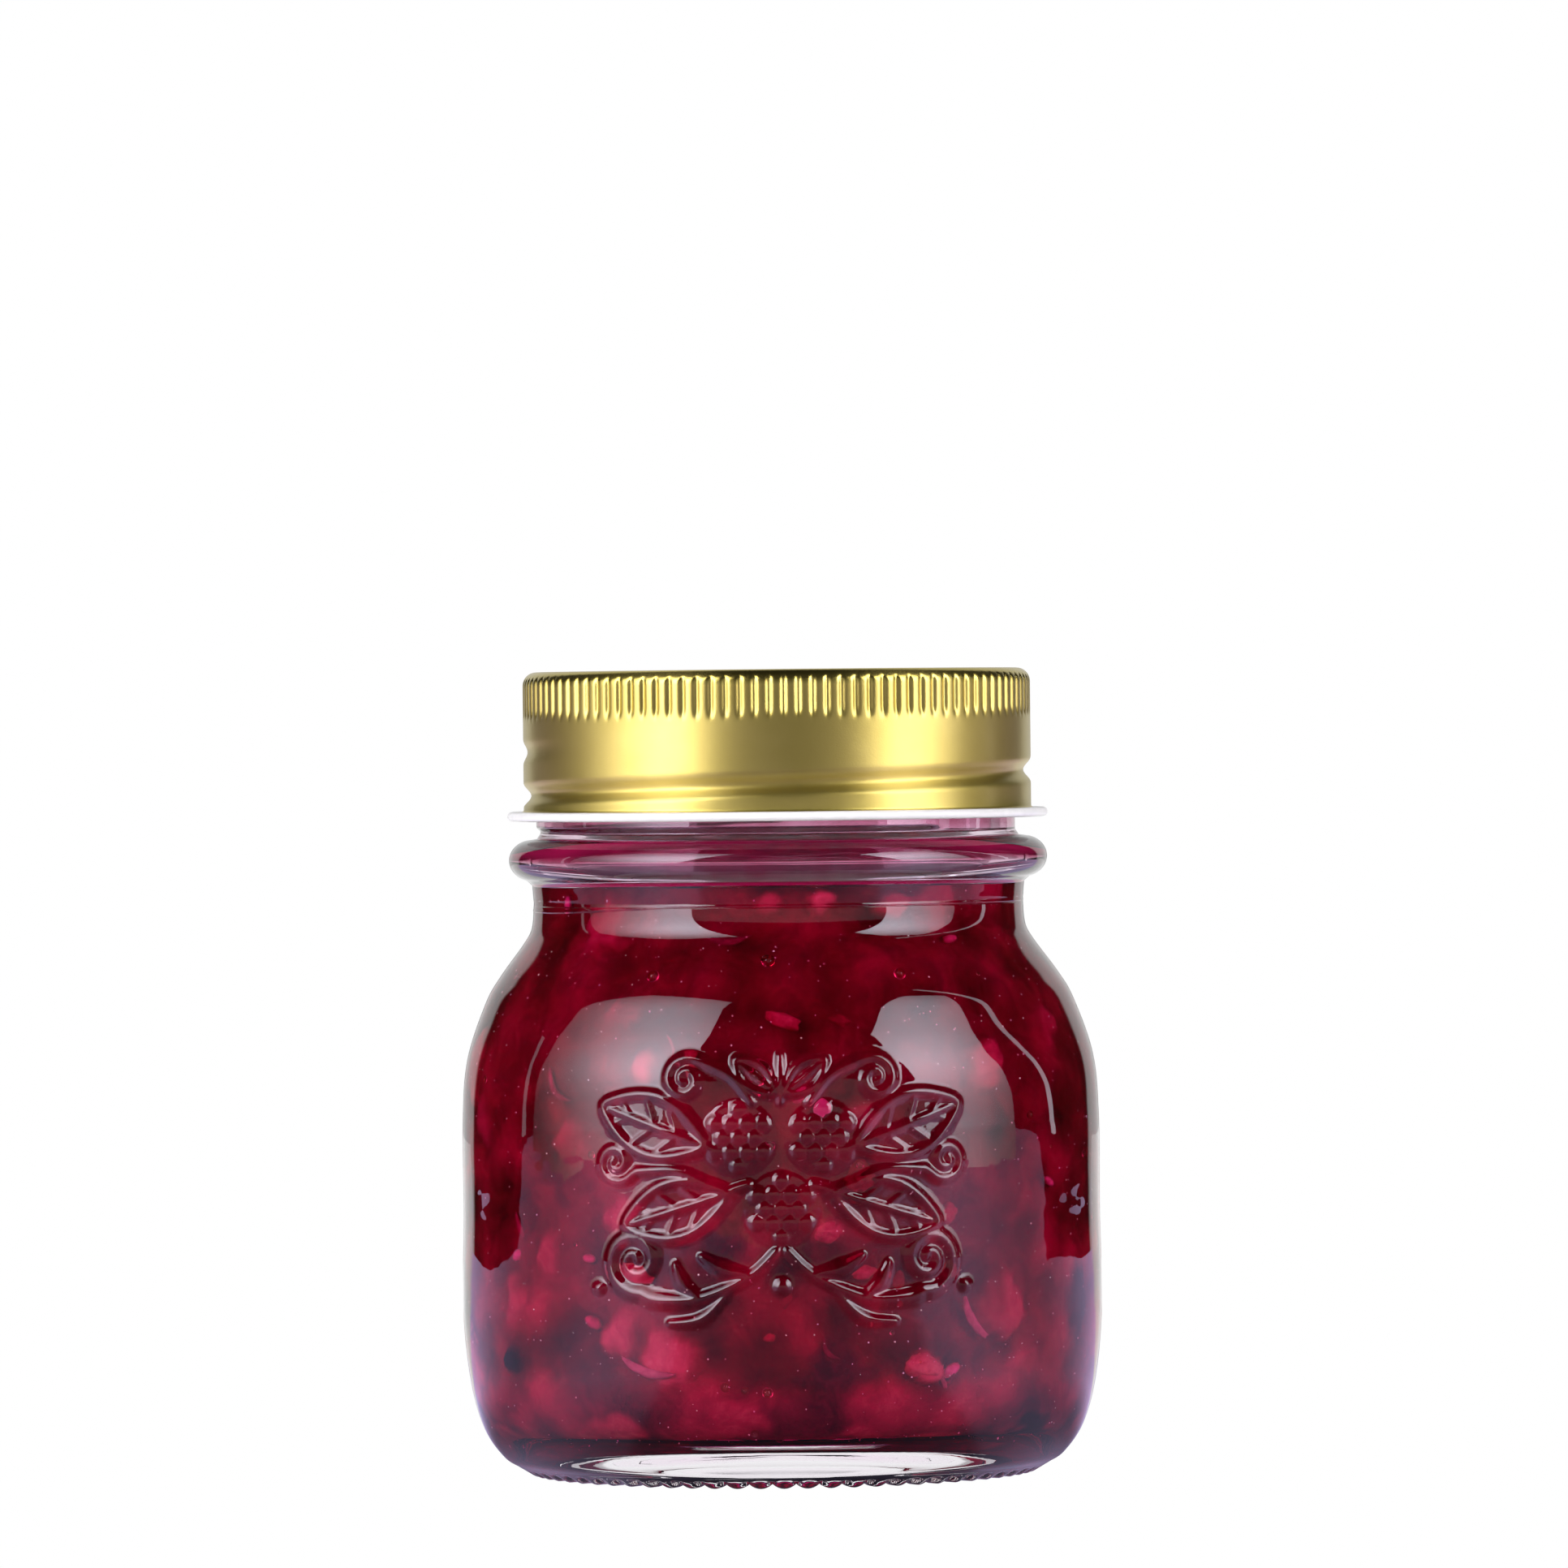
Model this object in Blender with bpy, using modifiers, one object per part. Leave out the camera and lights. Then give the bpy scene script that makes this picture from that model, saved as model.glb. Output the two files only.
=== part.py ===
"""A small preserving jar of berry jam: a turned glass body, the jam inside it and a one-piece screw lid.

Lengths are written in millimetres and turned to metres where the meshes are made. The jar stands on
the plane z = 0 with its axis on Z, and its front faces -Y.
"""

import math

import bmesh
import bpy
from mathutils import Vector

MM = 0.001

# Heights above the surface the jar stands on
TOTAL_HEIGHT = 83.1
RIM_HEIGHT = 82.2
JAM_LEVEL = 61.7
FLANGE_LOW = 67.7
BEAD_HEIGHT = 63.6
NECK_LOW = 58.2

# Radii of the glass
BODY_RADIUS = 33.1
WAIST_RADIUS = 32.87
NECK_RADIUS = 25.36
FINISH_RADIUS = 24.6
MOUTH_RADIUS = 22.2
BEAD_RADIUS = 27.83
BEARING_OUTER = 25.9
BEARING_INNER = 24.6
WALL = 2.9
LIP_ROUNDING = 0.8

# The base: how far its middle stands up underneath, and the jam's lowest levels above it
PUSH_UP = 2.2
FLOOR_HEIGHT = 5.8
FLOOR_EDGE_HEIGHT = 5.0

# The lid
LID_RADIUS = 26.3
LID_BORE = 25.05
LID_SHEET = 0.5
LID_CORNER = 1.4
FLANGE_RADIUS = 28.0
FLANGE_THICKNESS = 0.8
PANEL_RADIUS = 19.0
PANEL_DROP = 0.6

# The upright ribs round the top of the skirt
RIB_COUNT = 110
RIB_HEIGHT = 0.32
RIB_WIDTH = 1.0
RIB_SLOPE = 0.2
KNURL_TOP = 81.4
KNURL_LOW = 78.3

# The rolled thread, a right-hand helix; angles are in degrees from +X, seen from above
THREAD_PITCH = 4.5
THREAD_DEPTH = 0.8
THREAD_HALF_WIDTH = 1.35
THREAD_LEFT_HEIGHT = 70.3
THREAD_START = 110.0
THREAD_END = 500.0
THREAD_FADE = 70.0
THREAD_ZONE_TOP = 76.2
THREAD_ROWS = 10

# The raised ornament on the front: how far it stands out, its middle, and its berries and leaves as
# (across, up) from that middle. A leaf adds its half length, half width and tilt in degrees, and each
# leaf has a mirror image on the left.
RELIEF = 0.55
ORNAMENT_HEIGHT = 30.5
BERRY_SIZE = 3.8
BERRIES = [(0.0, -1.8), (-4.3, 5.4), (4.3, 5.4)]
LEAVES = [(13.3, 6.6, 5.9, 3.0, 20.0), (10.9, -1.9, 5.7, 2.8, -16.0), (2.6, 11.6, 2.6, 1.3, 40.0)]

# The clear gap between pieces, and how finely they are turned
GAP = 0.3
GLASS_STEPS = 48
JAM_STEPS = 32
LID_STEPS = 66
BOSS_STEPS = 12
MERGE_DISTANCE = 0.00001


def clear_scene():
    for item in list(bpy.data.objects):
        bpy.data.objects.remove(item)


def make_collection(name):
    collection = bpy.data.collections.new(name)
    bpy.context.scene.collection.children.link(collection)
    return collection


def make_material(name, colour, roughness, metallic=0.0, transmission=0.0):
    material = bpy.data.materials.new(name)
    material.use_nodes = True
    shader = material.node_tree.nodes["Principled BSDF"]
    shader.inputs["Base Color"].default_value = (*colour, 1.0)
    shader.inputs["Roughness"].default_value = roughness
    shader.inputs["Metallic"].default_value = metallic
    shader.inputs["Transmission Weight"].default_value = transmission
    material.diffuse_color = (*colour, 1.0)
    return material


def arc(centre, radii, start, end, count):
    """Points on an ellipse's arc, from one angle to the other in degrees, both ends included."""
    points = []
    for step in range(count + 1):
        angle = math.radians(start + (end - start) * step / count)
        points.append((centre[0] + radii[0] * math.cos(angle), centre[1] + radii[1] * math.sin(angle)))
    return points


def smooth(knots, steps):
    """A Catmull-Rom curve through the knots, with a number of steps from each knot to the next."""
    padded = [knots[0], *knots, knots[-1]]
    points = [knots[0]]
    for a, b, c, d in zip(padded, padded[1:], padded[2:], padded[3:]):
        for step in range(1, steps + 1):
            t = step / steps
            points.append(
                tuple(
                    0.5
                    * (
                        2 * b[k]
                        + (c[k] - a[k]) * t
                        + (2 * a[k] - 5 * b[k] + 4 * c[k] - d[k]) * t**2
                        + (3 * b[k] - a[k] - 3 * c[k] + d[k]) * t**3
                    )
                    for k in range(2)
                )
            )
    return points


def inner_wall():
    """The inside of the glass from the middle of its floor up to the jam's level, as (radius, height)."""
    return smooth(
        [
            (0.0, FLOOR_HEIGHT),
            (15.0, FLOOR_HEIGHT - 0.3),
            (25.2, FLOOR_EDGE_HEIGHT),
            (29.4, 8.4),
            (BODY_RADIUS - WALL, 15.0),
            (WAIST_RADIUS - WALL, 35.0),
            (29.2, 43.8),
            (25.1, 52.3),
            (22.7, 57.0),
            (MOUTH_RADIUS, JAM_LEVEL),
        ],
        2,
    )


def outer_wall():
    """The outside of the glass from below its rim down to the ring that it stands on."""
    finish_low = BEAD_HEIGHT + 3.0
    bead = arc((NECK_RADIUS, BEAD_HEIGHT), (BEAD_RADIUS - NECK_RADIUS, 2.15), 75, -75, 8)
    body = smooth(
        [
            (NECK_RADIUS, NECK_LOW + 2.0),
            (NECK_RADIUS, NECK_LOW),
            (25.56, 56.6),
            (26.42, 54.94),
            (28.86, 51.6),
            (30.45, 48.8),
            (32.4, 43.0),
            (BODY_RADIUS - 0.15, 36.5),
            (WAIST_RADIUS, 29.0),
            (BODY_RADIUS, 17.0),
            (32.35, 9.5),
            (31.0, 4.7),
            (29.15, 1.98),
            (27.6, 0.95),
            (BEARING_OUTER, 0.0),
        ],
        2,
    )
    return [(FINISH_RADIUS, finish_low), (FINISH_RADIUS + 0.25, finish_low - 0.75), *bead, *body]


def glass_profile():
    """The section of the glass: up the inside, over the rim, down the outside and under the base."""
    rounding = (LIP_ROUNDING, LIP_ROUNDING)
    lip_low = RIM_HEIGHT - LIP_ROUNDING
    rim = [
        *arc((MOUTH_RADIUS + LIP_ROUNDING, lip_low), rounding, 180, 90, 2),
        *arc((FINISH_RADIUS - LIP_ROUNDING, lip_low), rounding, 90, 0, 2),
    ]
    underside = [
        (BEARING_INNER, 0.0),
        (BEARING_INNER - 1.4, 0.55),
        (18.0, 1.25),
        (9.0, PUSH_UP - 0.25),
        (0.0, PUSH_UP),
    ]
    return [*inner_wall(), *rim, *outer_wall(), *underside]


def jam_profile():
    """The jam: from the middle of its level top, down beside the glass, to the middle of its bottom."""
    wall = inner_wall()
    side = []
    for k, (radius, height) in enumerate(wall):
        before = wall[max(k - 1, 0)]
        after = wall[min(k + 1, len(wall) - 1)]
        run, rise = after[0] - before[0], after[1] - before[1]
        length = math.hypot(run, rise)
        side.append((max(radius - GAP * rise / length, 0.0), height + GAP * run / length))
    side[0] = (0.0, FLOOR_HEIGHT + GAP)
    return [(0.0, JAM_LEVEL), *reversed(side)]


def lid_profile():
    """The lid: across its top, down the skirt, round the flange and back up inside."""
    top = TOTAL_HEIGHT
    corner = arc((LID_RADIUS - LID_CORNER, top - LID_CORNER), (LID_CORNER, LID_CORNER), 90, 0, 4)
    knurl_root = LID_RADIUS - RIB_HEIGHT
    corner[-1] = (knurl_root, top - LID_CORNER)
    flange_top = FLANGE_LOW + FLANGE_THICKNESS
    flange_middle = FLANGE_LOW + FLANGE_THICKNESS / 2
    thread_low = flange_top + 0.3
    row_height = (THREAD_ZONE_TOP - thread_low) / THREAD_ROWS
    skirt = [(LID_RADIUS, THREAD_ZONE_TOP - row_height * k) for k in range(THREAD_ROWS + 1)]
    half_hem = FLANGE_THICKNESS / 2
    hem = arc((FLANGE_RADIUS - half_hem, flange_middle), (half_hem, half_hem), 90, -90, 4)
    return [
        (0.0, top - PANEL_DROP),
        (PANEL_RADIUS, top - PANEL_DROP),
        (PANEL_RADIUS + 1.0, top),
        *corner,
        (knurl_root, KNURL_LOW + RIB_SLOPE),
        (LID_RADIUS, KNURL_LOW - RIB_SLOPE),
        *skirt,
        (LID_RADIUS + 0.2, flange_top),
        *hem,
        (LID_BORE, FLANGE_LOW),
        (LID_BORE, RIM_HEIGHT),
        (MOUTH_RADIUS, RIM_HEIGHT + GAP),
        (PANEL_RADIUS, RIM_HEIGHT + GAP - 0.2 - LID_SHEET),
        (0.0, top - PANEL_DROP - LID_SHEET),
    ]


def turned(name, profile, steps, collection, material):
    """A closed solid of revolution about Z, made with a Screw modifier and then turned into a plain mesh."""
    mesh = bpy.data.meshes.new(name + "_section")
    vertices = [(radius * MM, 0.0, height * MM) for radius, height in profile]
    mesh.from_pydata(vertices, [(k, k + 1) for k in range(len(profile) - 1)], [])
    section = bpy.data.objects.new(name + "_section", mesh)
    collection.objects.link(section)
    screw = section.modifiers.new("turn", "SCREW")
    screw.axis = "Z"
    screw.angle = math.tau
    screw.steps = steps
    screw.render_steps = steps
    screw.use_merge_vertices = True
    screw.merge_threshold = MERGE_DISTANCE
    graph = bpy.context.evaluated_depsgraph_get()
    solid = bpy.data.meshes.new_from_object(section.evaluated_get(graph))
    solid.name = name
    bpy.data.objects.remove(section)
    solid.materials.clear()
    solid.materials.append(material)
    made = bpy.data.objects.new(name, solid)
    collection.objects.link(made)
    return made


def thread_fade(turn_angle):
    """How deep the rolled thread is along its run, from 0 at its ends to 1."""
    inside = min(turn_angle - THREAD_START, THREAD_END - turn_angle) / THREAD_FADE
    share = min(max(inside, 0.0), 1.0)
    return share * share * (3 - 2 * share)


def thread_dip(angle, height):
    """The depth of the rolled thread at an angle in degrees and a height: a right-hand helix."""
    deepest = 0.0
    for turn in range(-1, 3):
        turn_angle = angle + 360.0 * turn
        centre = THREAD_LEFT_HEIGHT + THREAD_PITCH * (turn_angle - 180.0) / 360.0
        off = abs(height - centre) / THREAD_HALF_WIDTH
        if off < 1.0:
            deepest = max(deepest, thread_fade(turn_angle) * 0.5 * (1 + math.cos(math.pi * off)))
    return THREAD_DEPTH * deepest


def roll_thread(lid):
    """Presses the helical thread into the outside of the skirt."""
    for vertex in lid.data.vertices:
        radius = math.hypot(vertex.co.x, vertex.co.y) / MM
        height = vertex.co.z / MM
        on_skirt = abs(radius - LID_RADIUS) < 0.05 and height <= THREAD_ZONE_TOP + 0.05
        if not on_skirt:
            continue
        angle = math.degrees(math.atan2(vertex.co.y, vertex.co.x))
        share = 1.0 - thread_dip(angle, height) / radius
        vertex.co.x *= share
        vertex.co.y *= share


def knurl_ribs(collection, material):
    """One mesh of upright wedge-shaped ribs that stand round the top of the skirt, flush with it."""
    root = LID_RADIUS - RIB_HEIGHT - 0.15
    half_angle = RIB_WIDTH / 2 / root
    build = bmesh.new()
    for k in range(RIB_COUNT):
        middle = math.tau * k / RIB_COUNT
        corners = []
        for radius, angle, inset in (
            (root, middle - half_angle, 0.0),
            (root, middle + half_angle, 0.0),
            (LID_RADIUS, middle, RIB_SLOPE),
        ):
            for height in (KNURL_LOW + inset, KNURL_TOP - inset):
                place = Vector((radius * math.cos(angle), radius * math.sin(angle), height))
                corners.append(build.verts.new(place * MM))
        bmesh.ops.convex_hull(build, input=corners)
    bmesh.ops.recalc_face_normals(build, faces=build.faces)
    mesh = bpy.data.meshes.new("knurl_ribs")
    build.to_mesh(mesh)
    build.free()
    mesh.materials.append(material)
    ribs = bpy.data.objects.new("knurl_ribs", mesh)
    collection.objects.link(ribs)
    return ribs


def wall_radius(height):
    """The outer radius of the glass at a height on its body."""
    wall = outer_wall()
    for (upper_radius, upper), (lower_radius, lower) in zip(wall, wall[1:]):
        if lower <= height <= upper:
            share = (height - lower) / (upper - lower)
            return lower_radius + share * (upper_radius - lower_radius)
    return BODY_RADIUS


def raise_boss(build, across, up, half_length, half_width, tilt, taper):
    """Adds a low rounded boss that is wrapped on the front of the glass and sunk a little into it."""
    sunk = 0.45
    turn = math.radians(tilt)
    made = bmesh.ops.create_uvsphere(build, u_segments=BOSS_STEPS, v_segments=BOSS_STEPS // 2, radius=1.0)
    for vertex in made["verts"]:
        along = vertex.co.x * half_length
        aside = vertex.co.y * half_width * (1 - taper * vertex.co.x**2)
        height = ORNAMENT_HEIGHT + up + along * math.sin(turn) + aside * math.cos(turn)
        angle = (across + along * math.cos(turn) - aside * math.sin(turn)) / WAIST_RADIUS
        radius = wall_radius(height) - sunk + vertex.co.z * (RELIEF + sunk)
        vertex.co = Vector((radius * math.sin(angle), -radius * math.cos(angle), height)) * MM


def raised_ornament(collection, material):
    """One mesh of the berries and leaves that stand out from the front of the glass."""
    build = bmesh.new()
    for across, up in BERRIES:
        raise_boss(build, across, up, BERRY_SIZE, BERRY_SIZE, 0.0, 0.0)
    for across, up, half_length, half_width, tilt in LEAVES:
        raise_boss(build, across, up, half_length, half_width, tilt, 0.5)
        raise_boss(build, -across, up, half_length, half_width, 180.0 - tilt, 0.5)
    mesh = bpy.data.meshes.new("raised_ornament")
    build.to_mesh(mesh)
    build.free()
    mesh.materials.append(material)
    ornament = bpy.data.objects.new("raised_ornament", mesh)
    collection.objects.link(ornament)
    return ornament


def fuse(target, helper):
    """Joins the helper's solids to the target and removes the helper."""
    union = target.modifiers.new("fuse", "BOOLEAN")
    union.operation = "UNION"
    union.object = helper
    union.solver = "EXACT"
    graph = bpy.context.evaluated_depsgraph_get()
    joined = bpy.data.meshes.new_from_object(target.evaluated_get(graph))
    joined.name = target.name
    target.modifiers.clear()
    target.data = joined
    bpy.data.objects.remove(helper)


def shade(item, sharp_degrees):
    item.data.shade_smooth()
    item.data.set_sharp_from_angle(angle=math.radians(sharp_degrees))


def main():
    clear_scene()
    jar = make_collection("preserving_jar")
    glass_material = make_material("clear_glass", (0.93, 0.95, 0.95), 0.03, transmission=1.0)
    jam_material = make_material("berry_jam", (0.16, 0.004, 0.014), 0.3)
    gold_material = make_material("gold_lacquered_tinplate", (0.62, 0.47, 0.13), 0.28, metallic=1.0)

    glass = turned("glass_jar", glass_profile(), GLASS_STEPS, jar, glass_material)
    fuse(glass, raised_ornament(jar, glass_material))
    jam = turned("berry_jam", jam_profile(), JAM_STEPS, jar, jam_material)
    lid = turned("screw_lid", lid_profile(), LID_STEPS, jar, gold_material)
    roll_thread(lid)
    fuse(lid, knurl_ribs(jar, gold_material))
    shade(glass, 40)
    shade(jam, 40)
    shade(lid, 35)


main()
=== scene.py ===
"""A small preserving jar of berry jam on a white studio table.

Lengths are in millimetres until a mesh is made. Angles round the jar are measured from its front,
which faces -Y, and grow towards +X, so a point at angle a and radius r is (r sin a, -r cos a).
"""

import math

import bmesh
import bpy
import numpy as np
from mathutils import Matrix, Vector, noise


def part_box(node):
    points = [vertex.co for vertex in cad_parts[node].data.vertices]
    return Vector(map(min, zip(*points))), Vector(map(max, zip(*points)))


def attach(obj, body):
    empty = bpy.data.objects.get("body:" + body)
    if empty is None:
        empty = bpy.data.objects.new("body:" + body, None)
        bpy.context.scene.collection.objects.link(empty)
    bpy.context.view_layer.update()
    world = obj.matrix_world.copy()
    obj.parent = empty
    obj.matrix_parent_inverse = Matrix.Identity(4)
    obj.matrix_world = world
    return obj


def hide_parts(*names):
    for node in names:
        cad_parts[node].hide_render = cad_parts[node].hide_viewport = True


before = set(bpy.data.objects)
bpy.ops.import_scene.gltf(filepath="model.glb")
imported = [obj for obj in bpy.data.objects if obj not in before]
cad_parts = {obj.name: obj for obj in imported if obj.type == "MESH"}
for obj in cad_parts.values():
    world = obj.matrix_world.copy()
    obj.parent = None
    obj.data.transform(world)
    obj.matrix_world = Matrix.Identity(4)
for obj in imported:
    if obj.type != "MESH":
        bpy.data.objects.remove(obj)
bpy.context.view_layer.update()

MM = 0.001
RNG = np.random.default_rng(41)

# Heights and radii of the glass, and of the jam inside it
RIM_HEIGHT = 82.2
JAM_LEVEL = 61.7
BEAD_HEIGHT = 63.6
PARTING_HEIGHT = 59.1
BODY_RADIUS = 33.1
WAIST_RADIUS = 32.87
NECK_RADIUS = 25.36
FINISH_RADIUS = 24.6
MOUTH_RADIUS = 22.2
BEAD_RADIUS = 27.83
WALL = 2.9
LIP_ROUNDING = 0.8
BASE_RIBS = 68
BASE_RIB_HEIGHT = 0.5
JAM_INTO_WALL = 0.012
JAM_CREEP = 0.25
BEAD_HALF_HEIGHT = 2.15
GLASS_THREAD_HEIGHT = 66.75
GLASS_THREAD_DEPTH = 0.42
UNEVENNESS = 0.05
SEAM_RISE = 0.07
SEAM_HALF_WIDTH = math.radians(0.35)
PARTING_RISE = 0.05
PARTING_HALF_WIDTH = 0.11

# The raised ornament on the front; each leaf is a middle, a half length, a half width and a tilt
RELIEF = 0.5
ORNAMENT_HEIGHT = 30.5
ORNAMENT_LOW, ORNAMENT_HIGH = 15.8, 46.2
ORNAMENT_ARC = math.radians(40)
CORD_SWELL = 1.6
BERRY_SIZE = 3.8
BERRIES = [(0.0, -1.8), (-4.3, 5.4), (4.3, 5.4)]
LEAVES = [(13.3, 6.6, 5.9, 3.0, 20.0), (10.9, -1.9, 5.7, 2.8, -16.0), (2.6, 11.6, 2.6, 1.3, 40.0)]

# The lid
TOTAL_HEIGHT = 83.1
LID_RADIUS = 26.3
LID_BORE = 25.05
LID_CORNER = 1.4
HEM_RADIUS = 28.0
HEM_LOW = 67.7
HEM_THICKNESS = 0.95
PANEL_RADIUS = 19.0
PANEL_DROP = 0.6
GROOVES = 110
GROOVE_DEPTH = 0.24
KNURL_TOP = 81.75
KNURL_LOW = 78.3
THREAD_PITCH = 4.5
THREAD_DEPTH = 0.8
THREAD_HALF_WIDTH = 1.35
THREAD_LEFT_HEIGHT = 70.3
THREAD_START, THREAD_END, THREAD_FADE = 110.0, 580.0, 70.0


# ---------------------------------------------------------------- curves and skins


def smooth(knots, steps):
    """A Catmull-Rom curve through the knots, with a number of steps from each knot to the next."""
    knots = np.array(knots, float)
    padded = np.vstack([knots[0], knots, knots[-1]])
    t = (np.arange(1, steps + 1) / steps)[:, None]
    points = [knots[:1]]
    for a, b, c, d in zip(padded, padded[1:], padded[2:], padded[3:]):
        square, cube = (2 * a - 5 * b + 4 * c - d) * t**2, (3 * b - a - 3 * c + d) * t**3
        points.append(0.5 * (2 * b + (c - a) * t + square + cube))
    return np.vstack(points)


def arc(centre, radii, start, end, count):
    """Points on an ellipse's arc, from one angle to the other in degrees, both ends included."""
    turn = np.radians(np.linspace(start, end, count + 1))
    return np.column_stack([centre[0] + radii[0] * np.cos(turn), centre[1] + radii[1] * np.sin(turn)])


def fade(value, low, high):
    """0 below low and 1 above high, with a smooth rise between them."""
    share = np.clip((value - low) / (high - low), 0, 1)
    return share * share * (3 - 2 * share)


def round_angles(count, seams=False):
    """Even angles from -180 to 180 degrees, in radians, closer together at the two mould seams."""
    angles = np.linspace(-math.pi, math.pi, count, endpoint=False)
    if not seams:
        return angles
    seam = np.radians([-1.0, -0.5, -0.2, 0.0, 0.2, 0.5, 1.0])
    near = np.abs(np.abs(angles) - math.pi / 2) < math.radians(1.2)
    return np.sort(np.concatenate([angles[~near], seam - math.pi / 2, seam + math.pi / 2]))


def front_angles(half, fine, coarse):
    """Angles that lie close together over the front of the jar, half an arc to each side, and wider
    behind."""
    front = np.linspace(-half, half, fine)
    behind = round_angles(coarse, seams=True)
    return np.sort(np.concatenate([behind[np.abs(behind) > half + 0.01], front]))


def ring(angles, radius, height):
    """Points round the axis; radius and height are numbers, or one number for each angle."""
    angles = np.asarray(angles)
    flat = np.broadcast_to(height, angles.shape)
    return np.column_stack([radius * np.sin(angles), -radius * np.cos(angles), flat])


def lay(angles, line):
    """A ring for each radius and height of a line."""
    return [ring(angles, radius, height) for radius, height in line]


def pole(height):
    return np.array([[0.0, 0.0, height]])


def band(low, high, first_low, first_high):
    """Faces between two rings, given where each ring's points start; rings may differ in number."""
    n, m = len(low), len(high)
    if n == 1 or m == 1:
        many = max(n, m)
        k = np.arange(many)
        after = (k + 1) % many
        if n == 1:
            tip = np.full(many, first_low)
            return np.column_stack([tip, first_high + after, first_high + k]).tolist()
        tip = np.full(many, first_high)
        return np.column_stack([first_low + k, first_low + after, tip]).tolist()
    if n == m:
        k = np.arange(n)
        after = (k + 1) % n
        corners = [first_low + k, first_low + after, first_high + after, first_high + k]
        return np.column_stack(corners).tolist()
    turn_low = np.append(np.arctan2(low[:, 0], -low[:, 1]), math.inf)
    turn_high = np.append(np.arctan2(high[:, 0], -high[:, 1]), math.inf)
    faces = []
    i = j = 0
    while i < n or j < m:
        here_low, here_high = first_low + i % n, first_high + j % m
        next_low, next_high = turn_low[min(i + 1, n)], turn_high[min(j + 1, m)]
        if j >= m or (i < n and next_low <= next_high):
            faces.append([here_low, first_low + (i + 1) % n, here_high])
            i += 1
        else:
            faces.append([here_low, first_high + (j + 1) % m, here_high])
            j += 1
    return faces


def set_down(name, data):
    """An object in the scene, for a mesh or for the camera's lens."""
    item = bpy.data.objects.new(name, data)
    bpy.context.scene.collection.objects.link(item)
    return item


def place(name, mesh, materials):
    """A piece of the jar: an object for a mesh, with its materials, that rides with the jar."""
    for material in materials:
        mesh.materials.append(material)
    item = set_down(name, mesh)
    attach(item, "root")
    return item


def skin(name, rings, materials, finish=None):
    """A closed skin through rings of points in mm; finish[k] is the material of the band above ring k."""
    firsts = np.cumsum([0] + [len(points) for points in rings])
    faces, of_face = [], []
    for k, (low, high) in enumerate(zip(rings, rings[1:])):
        made = band(low, high, int(firsts[k]), int(firsts[k + 1]))
        faces += made
        of_face += [finish[k] if finish else 0] * len(made)
    mesh = bpy.data.meshes.new(name)
    mesh.from_pydata((np.vstack(rings) * MM).tolist(), [], faces)
    mesh.polygons.foreach_set("material_index", of_face)
    mesh.shade_smooth()
    mesh.validate()
    return place(name, mesh, materials)


# ---------------------------------------------------------------- the walls of the glass


def inner_wall(steps=8):
    """The inside of the glass from the edge of the jam, which creeps a little up the wall, down to the middle
    of its floor, as (radius, height)."""
    knots = [(MOUTH_RADIUS, JAM_LEVEL + JAM_CREEP), (22.7, 57.0), (25.1, 52.3), (29.2, 43.8)]
    knots += [(WAIST_RADIUS - WALL, 35.0), (BODY_RADIUS - WALL, 15.0)]
    knots += [(29.4, 8.4), (25.2, 5.0), (15.0, 6.0), (0.0, 6.6)]
    return smooth(knots, steps)


def outer_wall(steps, front=False):
    """The outside of the glass from the ring that it stands on up to below its bead. The front and the back
    run straight below the waist, and the sides swell a little."""
    low_swell, waist = (WAIST_RADIUS, WAIST_RADIUS) if front else (BODY_RADIUS - 0.02, WAIST_RADIUS + 0.08)
    knots = [(25.9, 0.0), (27.6, 0.95), (29.15, 1.98), (31.0, 4.7), (32.35, 9.5)]
    knots += [(low_swell, 17.0), (waist, 27.0), (waist, 36.5), (32.4, 43.0), (30.45, 48.8)]
    knots += [(28.86, 51.6), (26.42, 54.94), (25.55, 56.6), (25.33, 58.9), (25.36, 59.7), (25.46, 61.0)]
    wall = smooth(knots, steps)
    wall[:, 0] = np.minimum(wall[:, 0], max(low_swell, waist))
    return wall


SIDE_WALL = outer_wall(24)
FRONT_WALL = outer_wall(24, front=True)


def wall_radius(angles, height):
    """The outer radius of the body at a height, all round, with its mould seams and slow unevenness."""
    front = fade(np.abs(np.cos(angles)), 0.25, 0.75)
    side_radius = np.interp(height, SIDE_WALL[:, 1], SIDE_WALL[:, 0])
    front_radius = np.interp(height, FRONT_WALL[:, 1], FRONT_WALL[:, 0])
    radius = front * front_radius + (1 - front) * side_radius
    return wavy(angles, radius, height) + parting_line(angles, height)


def parting_line(angles, height):
    """The fine raised line round the neck where the neck ring of the mould met its body."""
    line_height = PARTING_HEIGHT - 0.7 * fade(-angles, 0.3, 1.2)
    return PARTING_RISE * np.exp(-(((height - line_height) / PARTING_HALF_WIDTH) ** 2))


def wavy(angles, radius, height, strength=1.0):
    """A radius with the mould seams and the slow unevenness of the glass."""
    return radius + seam(angles) + UNEVENNESS * strength * ripple(angles, height)


def ripple(angles, height):
    """The slow unevenness of moulded glass, from 0 to -1."""
    height = height / 10
    waves = (
        np.sin(3 * angles + 0.9 * height + 1.0)
        + np.sin(5 * angles - 1.7 * height + 0.3)
        + np.sin(8 * angles + 2.3 * height + 4.0)
        + 0.6 * np.sin(13 * angles - 3.1 * height + 2.0)
    )
    return (waves - 3.6) / 7.2


def seam(angles):
    """The height of the two mould seams, at the left and the right."""
    away = (np.abs(angles) - math.pi / 2) / SEAM_HALF_WIDTH
    return SEAM_RISE * np.exp(-(away**2))


# ---------------------------------------------------------------- the ornament on the front


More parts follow.
